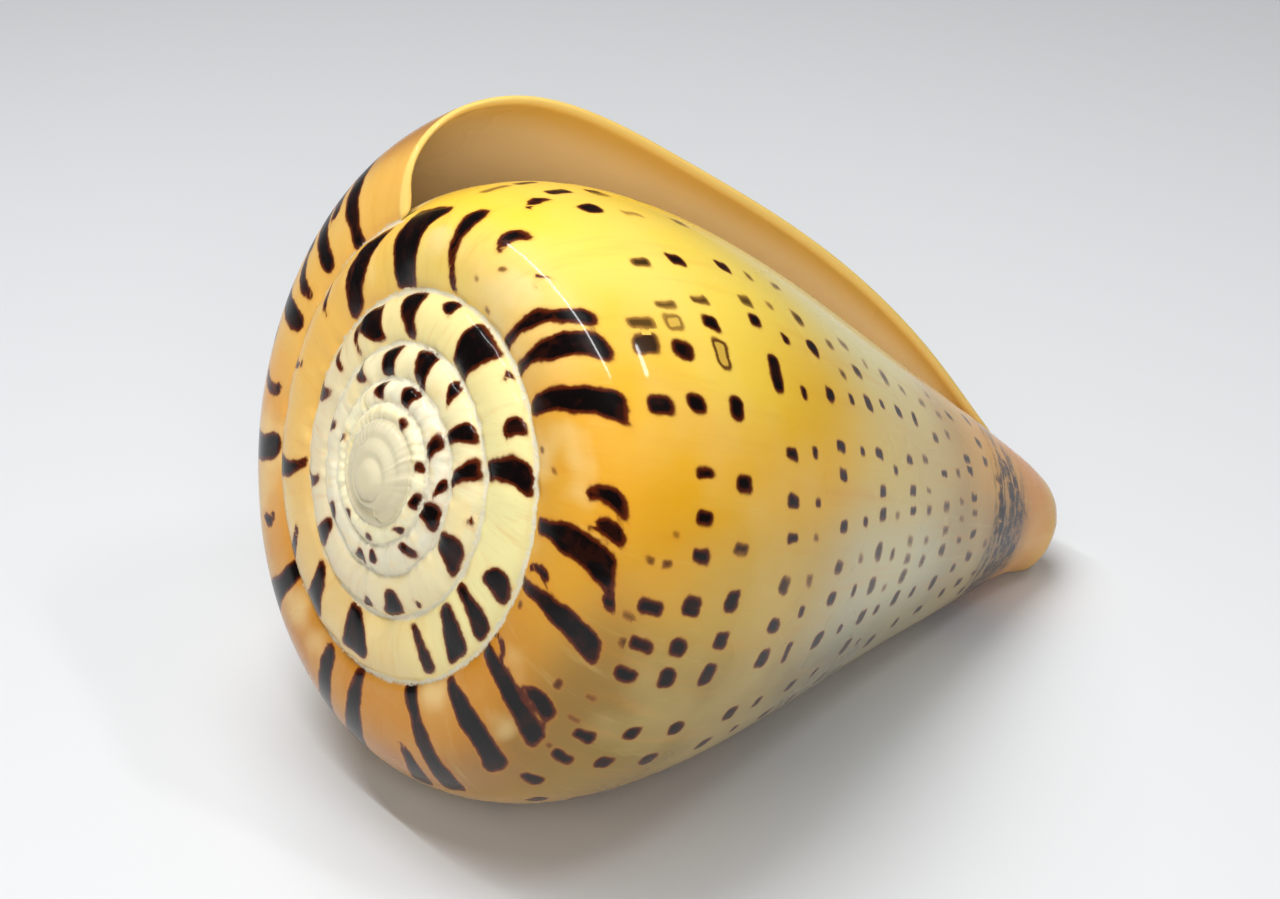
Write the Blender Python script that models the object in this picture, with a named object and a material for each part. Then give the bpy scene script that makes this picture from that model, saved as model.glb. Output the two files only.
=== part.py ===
"""A beech cone shell, lying on its side on a small flat spot, with its spire towards -X.

The shell is one piece. A profile that runs from the suture over the shoulder to the
anterior tip turns round the axis and grows with every turn. The last turn is hollow, from
its outer lip back to a closed partition, and is open at the mouth.
"""

import math

import bmesh
import bpy
import numpy as np

COLLECTION_NAME = "beech_cone_shell"
SHELL_NAME = "shell"

# The spiral. A turn counts from the outer lip, 0, back to the apex, below 0.
LENGTH = 0.090
SUTURE_RADIUS = 0.02295
SUTURE_GROWTH = (0.3785, 0.0087)
SPIRE_DEPTH = (0.00672, 0.00155, -0.00229)
FIRST_TURN = -5.5

# The shoulder and the ramp between the suture and the shoulder
SHOULDER_RADIUS = 0.0353
SHOULDER_GROWTH = 0.288
SHOULDER_DROP = 0.431
RAMP_EDGE_SHARE = 0.787
RAMP_EDGE_DROP = 0.130
RAMP_BULGE = 0.165
SPIRE_BULGE = 0.12
BULGE_START = -1.3
BULGE_TURNS = 0.5
COVERED_TURNS = 0.4

# The side, from the shoulder to the tip. Near the tip the lip stands out from the column that it
# winds round: the flare moves the lip out, and the step moves the column in.
# Share of the height, radius at the lip, growth a turn, flare, step
SIDE = (
    (0.25, 0.03053, 0.00723, 0.0, 0.0),
    (0.50, 0.02387, 0.00720, 0.0, 0.0),
    (0.75, 0.01463, 0.00376, 0.0, 0.0008),
    (0.92, 0.00679, -0.00067, 0.0006, 0.0034),
    (0.965, 0.00705, 0.00120, 0.0005, 0.0027),
)
FLARE_TURNS = 0.22
STEP_START = -0.84
STEP_TURNS = 0.20
TIP_LEAN_SIDE = -0.00271
TIP_LEAN_UP = -0.00346
LEAN_START = 0.45

# The lip's edge runs ahead of the axis plane towards the tip, in turns, and draws back at the notch
LIP_SWEEP = (-0.011, 0.052, 0.011)
NOTCH_START = 0.88
NOTCH_TURNS = 0.06

# The hollow of the last turn
WALL = 0.0024
LIP_WALL = 0.0011
LIP_TURNS = 0.07
LIP_CREST = 0.4
WALL_SHARE = 0.45
SMALL_GAP = 0.00002
HOLLOW_TURNS = 0.875
FLOOR_RISE = 0.05
FLOOR_TURNS = 0.10

# How it lies: the axis dips to the tip, and the lip's angle is measured from +Y upwards
AXIS_TILT = math.radians(19.20)
LIP_ANGLE = math.radians(64.2)
APEX = (-0.04190, -0.00225, 0.03765)

# Faceting
COLUMNS = 48
SPAN_ROWS = (2, 2, 4, 3, 2, 2, 2, 1)
NEXT_SUTURE_ROW = SPAN_ROWS[0] + SPAN_ROWS[1]
CORNER_ROW = NEXT_SUTURE_ROW + 1

# The rounded ends: shares of the rim's radius at each ring, and the height over the rim
CAP_SHARES = (0.90, 0.73, 0.47)
CAP_POWER = 3
NUCLEUS_HEIGHT = 0.0018
TIP_HEIGHT = 0.0041

SHELL_COLOUR = (0.74, 0.49, 0.20, 1.0)
SHELL_ROUGHNESS = 0.25
SMOOTH_ANGLE = math.radians(35)
CUT_TOLERANCE = 1e-7


def clear_scene():
    for item in list(bpy.data.objects):
        bpy.data.objects.remove(item, do_unlink=True)


def smooth_step(value):
    value = np.clip(value, 0.0, 1.0)
    return value * value * (3.0 - 2.0 * value)


def mix(low, high, share):
    return low * (1.0 - share) + high * share


def suture(turn):
    """Radius and height of the suture, with the apex at height 0."""
    radius = SUTURE_RADIUS * np.exp(SUTURE_GROWTH[0] * turn + SUTURE_GROWTH[1] * turn ** 2)
    size = radius / SUTURE_RADIUS
    depth = sum(factor * size ** (power + 1) for power, factor in enumerate(SPIRE_DEPTH))
    return radius, -depth


def profile_knots(turn):
    """The points that the profile passes through, as radius and height, for each turn."""
    radius_0, height_0 = suture(turn)
    next_radius, next_height = suture(turn + 1.0)
    shoulder = SHOULDER_RADIUS * np.exp(SHOULDER_GROWTH * turn)
    free = smooth_step((turn + 1.0) / COVERED_TURNS)
    edge_radius = mix(next_radius, mix(radius_0, shoulder, RAMP_EDGE_SHARE), free)
    edge_height = mix(next_height, height_0 - RAMP_EDGE_DROP * shoulder, free)
    bulge = mix(SPIRE_BULGE, RAMP_BULGE, smooth_step((turn - BULGE_START) / BULGE_TURNS))
    ramp_height = 0.5 * (height_0 + edge_height) + bulge * (edge_radius - radius_0)
    shoulder_height = height_0 - SHOULDER_DROP * shoulder
    radii = [radius_0, 0.5 * (radius_0 + edge_radius), edge_radius, shoulder]
    heights = [height_0, ramp_height, edge_height, shoulder_height]
    flared = smooth_step(1.0 + turn / FLARE_TURNS)
    stepped = smooth_step((STEP_START - turn) / STEP_TURNS)
    for share, radius, growth, flare, step in SIDE:
        radii.append(radius + growth * turn + flare * flared - step * stepped)
        heights.append(mix(shoulder_height, -LENGTH, share))
    return np.stack([np.stack(radii, -1), np.stack(heights, -1)], -1)


def spline_point(knots, span, share):
    """A point of the natural cubic spline through each row of knots, at a share of one span."""
    steps = np.sqrt(np.linalg.norm(np.diff(knots, axis=1), axis=2))
    count = knots.shape[1]
    matrix = np.zeros((len(knots), count, count))
    right = np.zeros(knots.shape)
    matrix[:, 0, 0] = 1.0
    matrix[:, -1, -1] = 1.0
    slopes = np.diff(knots, axis=1) / steps[..., None]
    for row in range(1, count - 1):
        matrix[:, row, row - 1] = steps[:, row - 1]
        matrix[:, row, row] = 2.0 * (steps[:, row - 1] + steps[:, row])
        matrix[:, row, row + 1] = steps[:, row]
        right[:, row] = 6.0 * (slopes[:, row] - slopes[:, row - 1])
    curving = np.linalg.solve(matrix, right)
    line = np.arange(len(knots))
    width = steps[line, span][:, None]
    far = share[:, None]
    near = 1.0 - far
    start = knots[line, span]
    end = knots[line, span + 1]
    bend = (near ** 3 - near) * curving[line, span] + (far ** 3 - far) * curving[line, span + 1]
    return near * start + far * end + bend * width ** 2 / 6.0


def profile_rows():
    """Span and share of each row of the profile, and how far along the profile it lies."""
    spans = np.concatenate([np.full(rows, span) for span, rows in enumerate(SPAN_ROWS)])
    shares = np.concatenate([np.arange(rows) / rows for rows in SPAN_ROWS])
    spans = np.append(spans, len(SPAN_ROWS) - 1)
    shares = np.append(shares, 1.0)
    knots = profile_knots(np.zeros(1))[0]
    steps = np.sqrt(np.linalg.norm(np.diff(knots, axis=0), axis=1))
    starts = np.append(0.0, np.cumsum(steps))
    along = (starts[spans] + shares * steps[spans]) / starts[-1]
    return spans, shares, along


def in_space(turn, radius, height):
    """Points of the shell where it lies, from their turn, radius and height."""
    low = np.clip((-height / LENGTH - LEAN_START) / (1.0 - LEAN_START), 0.0, 1.0) ** 2
    angle = LIP_ANGLE + 2.0 * math.pi * turn
    side = radius * np.cos(angle) + TIP_LEAN_SIDE * low
    up = radius * np.sin(angle) + TIP_LEAN_UP * low
    x = APEX[0] + up * math.sin(AXIS_TILT) - height * math.cos(AXIS_TILT)
    z = APEX[2] + up * math.cos(AXIS_TILT) + height * math.sin(AXIS_TILT)
    return np.stack([x, APEX[1] + side, z], -1)


def outer_surface(turns):
    """Points of the surface, by column and row. Where it is covered, the last rows draw up."""
    spans, shares, along = profile_rows()
    notch = NOTCH_TURNS * smooth_step((along - NOTCH_START) / (1.0 - NOTCH_START))
    sweep = LIP_SWEEP[0] + LIP_SWEEP[1] * along + LIP_SWEEP[2] * along ** 2 - notch
    turn = turns[:, None] + sweep[None, :]
    rise = FLOOR_RISE * smooth_step((-1.0 - turns) / FLOOR_TURNS)
    position = np.clip(along[None, :] * (1.0 - rise[:, None]), 0.0, 1.0)
    drawn = np.interp(position, along, spans + shares)
    row_place = np.where(np.arange(len(along))[None, :] > CORNER_ROW, drawn, spans + shares)
    span = np.minimum(row_place.astype(int), len(SPAN_ROWS) - 1)
    share = row_place - span
    knots = profile_knots(turn.ravel())
    profile = spline_point(knots, span.ravel(), share.ravel()).reshape(*turn.shape, 2)
    return in_space(turn, profile[..., 0], profile[..., 1])


def hollow_surface(outer, inner, turns):
    """The inside of the outer wall: outer points moved towards the surface that they face."""
    facing = inner[:, np.maximum(np.arange(outer.shape[1]), CORNER_ROW)]
    across = facing - outer
    gap = np.linalg.norm(across, axis=2)
    wall = mix(WALL, LIP_WALL, smooth_step(1.0 + turns / LIP_TURNS))[:, None]
    share = np.minimum(wall / np.maximum(gap, SMALL_GAP), WALL_SHARE)
    return outer + across * share[..., None]


def lip_edge(outer, hollow, forward):
    """The crest of the lip between its two faces, a little ahead of them."""
    thickness = np.linalg.norm(outer - hollow, axis=1)[:, None]
    ahead = forward / np.linalg.norm(forward, axis=1)[:, None]
    return 0.5 * (outer + hollow) + LIP_CREST * thickness * ahead


class Surface:
    """Points and faces, with each point added once."""

    def __init__(self):
        self.points = []
        self.faces = []

    def add(self, points):
        first = len(self.points)
        self.points.extend(tuple(float(value) for value in point) for point in points)
        return np.arange(first, len(self.points))

    def quad(self, a, b, c, d):
        corners = [a, b, c, d]
        face = [corner for place, corner in enumerate(corners) if corner not in corners[:place]]
        if len(face) > 2:
            self.faces.append(face)

    def sheet(self, grid, rows):
        """Faces between neighbouring columns of a grid of point numbers."""
        for left, right in zip(grid[:-1], grid[1:]):
            for row in rows:
                self.quad(left[row], left[row + 1], right[row + 1], right[row])

    def close(self, loop, height, outward, flip):
        """A rounded cap over a loop of point numbers."""
        rim = np.array([self.points[number] for number in loop])
        centre = rim.mean(axis=0)
        last = list(loop)
        for share in CAP_SHARES:
            rise = height * (1.0 - share ** CAP_POWER)
            ring = list(self.add(centre + (rim - centre) * share + outward * rise))
            self.join(last, ring, flip)
            last = ring
        top = int(self.add([centre + outward * height])[0])
        self.join(last, [top] * len(last), flip)

    def join(self, lower, upper, flip):
        for place in range(len(lower)):
            other = (place + 1) % len(lower)
            quad = [lower[place], lower[other], upper[other], upper[place]]
            self.quad(*(quad[::-1] if flip else quad))


def number_points(surface, outer, columns_hollow):
    """Point numbers of the outer surface, with the sutures of neighbouring turns shared."""
    columns, rows = outer.shape[:2]
    lip = columns - 1
    numbers = np.full((columns, rows), -1)
    for column in range(columns):
        whole = column >= lip - COLUMNS
        covered = not whole and column >= lip - COLUMNS - columns_hollow
        for row in range(rows):
            below = row > NEXT_SUTURE_ROW and (whole or (covered and row >= CORNER_ROW))
            joined = row == NEXT_SUTURE_ROW and column == lip - COLUMNS
            if row < NEXT_SUTURE_ROW or below or (whole and not joined):
                numbers[column, row] = surface.add([outer[column, row]])[0]
    for column in range(lip - COLUMNS + 1):
        numbers[column, NEXT_SUTURE_ROW] = numbers[column + COLUMNS, 0]
    return numbers


def build_surface():
    surface = Surface()
    columns = round(-FIRST_TURN * COLUMNS) + 1
    lip = columns - 1
    deep = round(HOLLOW_TURNS * COLUMNS)
    turns = (np.arange(columns) - lip) / COLUMNS
    outer = outer_surface(turns)
    rows = outer.shape[1]
    numbers = number_points(surface, outer, deep)

    spire = numbers[: lip - COLUMNS + 1]
    surface.sheet(spire, range(NEXT_SUTURE_ROW))
    body = numbers[lip - COLUMNS:]
    surface.sheet(body, range(rows - 1))
    covered = numbers[lip - COLUMNS - deep: lip - COLUMNS + 1]
    surface.sheet(covered, range(CORNER_ROW, rows - 1))

    facing = outer[lip - COLUMNS - deep: lip - COLUMNS + 1]
    hollow = hollow_surface(outer[lip - deep:], facing, turns[lip - deep:])
    inside = np.full((deep + 1, rows), -1)
    inside[:, 0] = covered[:, CORNER_ROW]
    inside[:, -1] = covered[:, -1]
    for column in range(deep + 1):
        inside[column, 1:-1] = surface.add(hollow[column, 1:-1])
    surface.sheet(inside[:, ::-1], range(rows - 1))

    add_partition(surface, inside[0], covered[0])
    add_lip(surface, outer, hollow, numbers[lip], inside[-1])
    add_ends(surface, numbers, lip)
    return surface


def add_partition(surface, wall, column):
    """The closed back of the hollow, between the outer wall and the turn inside it."""
    for row in range(len(wall) - 1):
        low = max(row, CORNER_ROW)
        high = max(row + 1, CORNER_ROW)
        surface.quad(wall[row], wall[row + 1], column[high], column[low])


def add_lip(surface, outer, hollow, outside, inside):
    """The rounded edge of the outer lip."""
    forward = outer[-1] - outer[-2]
    crest = lip_edge(outer[-1], hollow[-1], forward)
    edge = surface.add(crest[1:-1])
    edge = np.concatenate([[-1], edge, [-1]])
    last = len(edge) - 1
    for row in range(last):
        if row == 0:
            surface.faces.append([outside[0], outside[1], edge[1]])
            surface.faces.append([outside[0], edge[1], inside[0]])
            surface.faces.append([inside[0], edge[1], inside[1]])
        elif row == last - 1:
            surface.faces.append([outside[row], outside[last], edge[row]])
            surface.faces.append([outside[last], inside[last], edge[row]])
            surface.faces.append([inside[last], inside[row], edge[row]])
        else:
            surface.quad(outside[row], outside[row + 1], edge[row + 1], edge[row])
            surface.quad(edge[row], edge[row + 1], inside[row + 1], inside[row])


def add_ends(surface, numbers, lip):
    """The smooth first whorl at the apex, and the rounded anterior end."""
    to_apex = np.array([-math.cos(AXIS_TILT), 0.0, math.sin(AXIS_TILT)])
    nucleus = list(numbers[: COLUMNS + 1, 0]) + list(numbers[0, NEXT_SUTURE_ROW - 1: 0: -1])
    surface.close(nucleus, NUCLEUS_HEIGHT, to_apex, True)
    tip = list(numbers[lip - COLUMNS: lip + 1, -1])
    surface.close(tip, TIP_HEIGHT, -to_apex, False)


def make_mesh(surface):
    mesh = bpy.data.meshes.new(SHELL_NAME)
    work = bmesh.new()
    points = [work.verts.new(point) for point in surface.points]
    for face in surface.faces:
        work.faces.new([points[number] for number in face])
    bmesh.ops.triangulate(work, faces=[face for face in work.faces if len(face.verts) > 3])
    bmesh.ops.recalc_face_normals(work, faces=work.faces)
    cut_flat_spot(work)
    work.to_mesh(mesh)
    work.free()
    mesh.shade_smooth()
    mesh.set_sharp_from_angle(angle=SMOOTH_ANGLE)
    return mesh


def cut_flat_spot(work):
    """Cuts the worn flat spots on which the shell rests, at height 0."""
    geometry = list(work.verts) + list(work.edges) + list(work.faces)
    cut = bmesh.ops.bisect_plane(
        work,
        geom=geometry,
        dist=CUT_TOLERANCE,
        plane_co=(0.0, 0.0, 0.0),
        plane_no=(0.0, 0.0, -1.0),
        clear_outer=True,
    )
    edges = [item for item in cut["geom_cut"] if isinstance(item, bmesh.types.BMEdge)]
    filled = bmesh.ops.edgeloop_fill(work, edges=edges)
    bmesh.ops.triangulate(work, faces=filled["faces"])


def make_material():
    material = bpy.data.materials.new(SHELL_NAME)
    material.use_nodes = True
    shader = material.node_tree.nodes["Principled BSDF"]
    shader.inputs["Base Color"].default_value = SHELL_COLOUR
    shader.inputs["Roughness"].default_value = SHELL_ROUGHNESS
    shader.inputs["Metallic"].default_value = 0.0
    return material


def make_shell(collection):
    shell = bpy.data.objects.new(SHELL_NAME, make_mesh(build_surface()))
    shell.data.materials.append(make_material())
    collection.objects.link(shell)


def main():
    clear_scene()
    collection = bpy.data.collections.new(COLLECTION_NAME)
    bpy.context.scene.collection.children.link(collection)
    make_shell(collection)


main()
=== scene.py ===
"""The looks of a beech cone shell, lying on its side on a pale floor.

The glossy shell is one closed mesh, made from the same growing profile as the solid that it
stands for, with finer facets. Every corner of it keeps its place in the growth of the shell:
its turn, counted from the outer lip, 0, back to the apex, and how far along the profile it
lies, from the suture, 0, to the anterior rim, 1. The marks and colours are placed by these two.
"""

import math

import bpy
import numpy as np
from mathutils import Matrix, Vector


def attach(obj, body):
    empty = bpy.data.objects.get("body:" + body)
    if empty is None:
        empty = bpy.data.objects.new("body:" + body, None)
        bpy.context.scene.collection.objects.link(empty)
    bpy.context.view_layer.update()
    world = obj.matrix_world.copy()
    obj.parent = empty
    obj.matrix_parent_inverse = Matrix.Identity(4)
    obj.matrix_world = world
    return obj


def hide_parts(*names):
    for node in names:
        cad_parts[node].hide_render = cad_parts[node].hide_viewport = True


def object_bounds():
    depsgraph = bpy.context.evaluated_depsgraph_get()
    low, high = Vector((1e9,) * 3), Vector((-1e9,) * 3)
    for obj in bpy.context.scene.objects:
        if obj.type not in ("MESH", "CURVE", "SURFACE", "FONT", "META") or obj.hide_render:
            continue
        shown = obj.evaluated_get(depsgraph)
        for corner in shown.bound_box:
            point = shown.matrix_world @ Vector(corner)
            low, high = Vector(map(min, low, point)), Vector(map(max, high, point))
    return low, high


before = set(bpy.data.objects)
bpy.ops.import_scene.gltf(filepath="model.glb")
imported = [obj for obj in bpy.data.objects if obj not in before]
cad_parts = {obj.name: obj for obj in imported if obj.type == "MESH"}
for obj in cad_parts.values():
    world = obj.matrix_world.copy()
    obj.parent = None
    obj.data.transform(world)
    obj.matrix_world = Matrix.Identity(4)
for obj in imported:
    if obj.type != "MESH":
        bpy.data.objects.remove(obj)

THOUSAND = 1000.0
MILLIMETRES = 1000.0
CAD_BOX = [list(map(float, corner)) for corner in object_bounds()]

# The spiral and the profile, as in the solid
LENGTH = 0.090
SUTURE_RADIUS = 0.02295
SUTURE_GROWTH = (0.3785, 0.0087)
SPIRE_DEPTH = (0.00672, 0.00155, -0.00229)
FIRST_TURN = -5.5
SHOULDER_RADIUS = 0.0353
SHOULDER_GROWTH = 0.288
SHOULDER_DROP = 0.431
RAMP_EDGE_SHARE = 0.787
RAMP_EDGE_DROP = 0.130
RAMP_BULGE = 0.165
SPIRE_BULGE = 0.12
BULGE_START = -1.3
BULGE_TURNS = 0.5
COVERED_TURNS = 0.4

# Share of the height, radius at the lip, growth a turn, flare, step
SIDE = (
    (0.25, 0.03053, 0.00723, 0.0, 0.0),
    (0.50, 0.02387, 0.00720, 0.0, 0.0),
    (0.75, 0.01463, 0.00376, 0.0, 0.0008),
    (0.92, 0.00679, -0.00067, 0.0006, 0.0034),
    (0.965, 0.00705, 0.00120, 0.0005, 0.0027),
)
FLARE_TURNS = 0.22
STEP_START = -0.84
STEP_TURNS = 0.20
TIP_LEAN_SIDE = -0.00271
TIP_LEAN_UP = -0.00346
LEAN_START = 0.45
LIP_SWEEP = (-0.011, 0.052, 0.011)
NOTCH_START = 0.88
NOTCH_TURNS = 0.06

WALL = 0.0024
LIP_WALL = 0.0011
LIP_TURNS = 0.07
WALL_SHARE = 0.45
SMALL_GAP = 0.00002
HOLLOW_TURNS = 0.875
FLOOR_RISE = 0.05
FLOOR_TURNS = 0.10

AXIS_TILT = math.radians(19.20)
LIP_ANGLE = math.radians(64.2)
APEX = (-0.04190, -0.00225, 0.03765)

# Facets of the fine surface. Rows lie closer together at the sutures.
COLUMNS = 280
SPAN_ROWS = (8, 8, 12, 10, 8, 8, 12, 8)
SUTURE_CROWDING = 1.6
NEXT_SUTURE_ROW = SPAN_ROWS[0] + SPAN_ROWS[1]
CORNER_ROW = NEXT_SUTURE_ROW + SPAN_ROWS[2] // 4
LIP_ROWS = 6
LIP_ROUND = 0.8
CAP_SHARES = (0.95, 0.88, 0.79, 0.68, 0.55, 0.40, 0.25, 0.12, 0.0)
CAP_POWER = 3
TIP_HEIGHT = 0.0041

# The nucleus: share of the rim's width and rise of each ring, with two fine whorls round a knob
NUCLEUS_HEIGHT = 0.0018
NUCLEUS_LEAN = 0.30
NO_LEAN = (0.0, 0.0, 0.0)
NUCLEUS_ROUNDING = 3
NUCLEUS_RINGS = (
    (0.97, 0.12), (0.93, 0.24), (0.87, 0.35), (0.81, 0.40), (0.76, 0.38), (0.72, 0.43), (0.66, 0.55),
    (0.58, 0.66), (0.51, 0.69), (0.46, 0.65), (0.42, 0.71), (0.34, 0.88), (0.24, 0.97), (0.12, 1.0),
    (0.0, 1.0),
)

# Low relief, in metres: the grooved, wavy sutures, the pleats of the spire, the growth waves and
# the spiral ridges above the tip. PLEAT_TURNS and PLEAT_PLACES say where the pleats start and end,
# and over which reach they fade.
GROOVE_DEPTH = 0.00022
GROOVE_WIDTH = 0.00045
SUTURE_WAVE = 0.00012
SUTURE_WAVES = 85
SUTURE_REACH = 0.0011
PLEAT_HEIGHT = 0.00009
PLEATS = 42
PLEAT_SLANT = 6.0
PLEAT_TURNS = (-0.6, 0.5)
PLEAT_PLACES = (0.24, 0.06)
GROWTH_HEIGHT = 0.00004
GROWTH_WAVES = 26
GROWTH_SLANT = 2.0
RIDGE_HEIGHT = 0.00009
RIDGES = 44
RIDGE_START = (0.70, 0.80)
RIDGE_END = (0.90, 0.95)
WAVE_DRAWS = 512
SWAY_SEED = 1
PLEAT_SEED = 2
GROWTH_SEED = 3
RELIEF_START = 0.8

# The flames, in thousandths: turn in the middle, how far the end runs ahead of the start, start and
# end along the profile, and width in turns. Whorl by whorl, from the last one to the first. The
# last five of the last whorl lie on its shoulder.
LAST_FLAMES = (
    (-979, 4, 0, 180, 32), (-925, -20, 10, 190, 11), (-916, -11, 213, 251, 6),
    (-892, 0, 130, 187, 12), (-854, 0, 135, 162, 4), (-828, 12, 0, 187, 11), (-805, 4, 0, 190, 15),
    (-771, 6, 0, 187, 17), (-717, 2, 108, 174, 14), (-700, 1, 115, 170, 11), (-684, 6, 10, 166, 20),
    (-663, 0, 150, 174, 10), (-655, -2, 10, 62, 9), (-640, 0, 0, 172, 15), (-588, 0, 0, 45, 7),
    (-588, 1, 100, 163, 12), (-574, 2, 0, 172, 15), (-532, -12, 0, 170, 17), (-484, -14, 0, 200, 14),
    (-465, 4, 100, 200, 14), (-412, 8, 0, 215, 19), (-379, -6, 10, 215, 17), (-304, -2, 0, 225, 20),
    (-259, 0, 35, 80, 8), (-214, -4, 10, 225, 19), (-175, 0, 30, 110, 9), (-128, 0, 20, 220, 14),
    (-106, 0, 20, 120, 10), (-79, 3, 15, 225, 14), (-47, -4, 0, 230, 15), (-64, 14, 95, 250, 13),
    (-96, 10, 105, 245, 12), (-150, 8, 110, 240, 16), (-192, 6, 115, 240, 12),
    (-240, 4, 120, 240, 10),
)
SPIRE_FLAMES = (
    (-1960, -20, 10, 172, 20), (-1911, -4, 120, 172, 11), (-1853, -7, 0, 168, 30),
    (-1812, 0, 145, 172, 5), (-1767, -3, 100, 172, 13), (-1726, -3, 0, 174, 20),
    (-1631, -3, 75, 168, 15), (-1591, 0, 10, 168, 13), (-1556, 5, 10, 168, 21),
    (-1511, -16, 10, 165, 14), (-1410, -19, 5, 140, 28), (-1342, -25, 15, 160, 23),
    (-1291, -17, 75, 160, 10), (-1226, -12, 10, 160, 14), (-1148, -5, 100, 165, 8),
    (-1091, 4, 75, 150, 8), (-1052, 2, 50, 130, 10), (-1039, 28, 10, 165, 27),
    (-2980, -7, 10, 172, 24), (-2899, -35, 0, 172, 25), (-2832, -28, 60, 172, 15),
    (-2775, -2, 0, 165, 18), (-2722, -28, 0, 172, 19), (-2670, 0, 130, 165, 11),
    (-2617, -3, 10, 168, 27), (-2526, 0, 120, 172, 10), (-2481, -4, 50, 172, 22),
    (-2430, 0, 110, 162, 15), (-2308, -10, 10, 165, 18), (-2242, -4, 40, 165, 10),
    (-2139, -15, 45, 165, 13), (-2097, -4, 40, 165, 8), (-2057, -4, 20, 165, 8),
    (-2026, -30, 20, 165, 25), (-3988, -10, 20, 172, 18), (-3895, -5, 0, 172, 30),
    (-3767, -30, 0, 172, 22), (-3697, -30, 85, 172, 13), (-3642, -10, 0, 168, 32),
    (-3553, -35, 20, 172, 18), (-3445, -10, 30, 110, 15), (-3407, -8, 40, 172, 24),
    (-3297, -10, 50, 172, 20), (-3160, -6, 60, 172, 14), (-3054, -23, 30, 172, 15),
    (-4859, -10, 0, 160, 30), (-4733, -10, 50, 160, 17), (-4648, -20, 50, 172, 28),
    (-4555, -15, 80, 168, 13), (-4438, 5, 70, 172, 17), (-4340, -4, 50, 172, 26),
    (-4162, -15, 50, 172, 17),
)

# How far a flame bows, in turns, the radius of its corners, in millimetres, its width at its
# start and what that grows by to its end, how much wider the flames of the spire are, how many
# widths away a flame is worked out, and the depth farther off, in millimetres
FLAME_BOW = 0.006
FLAME_ROUND = 0.8
FLAME_SWELL = (0.80, 0.35)
YOUNG_SWELL = 1.4
FLAME_REACH = 3.0
NO_FLAME = -9.0

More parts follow.
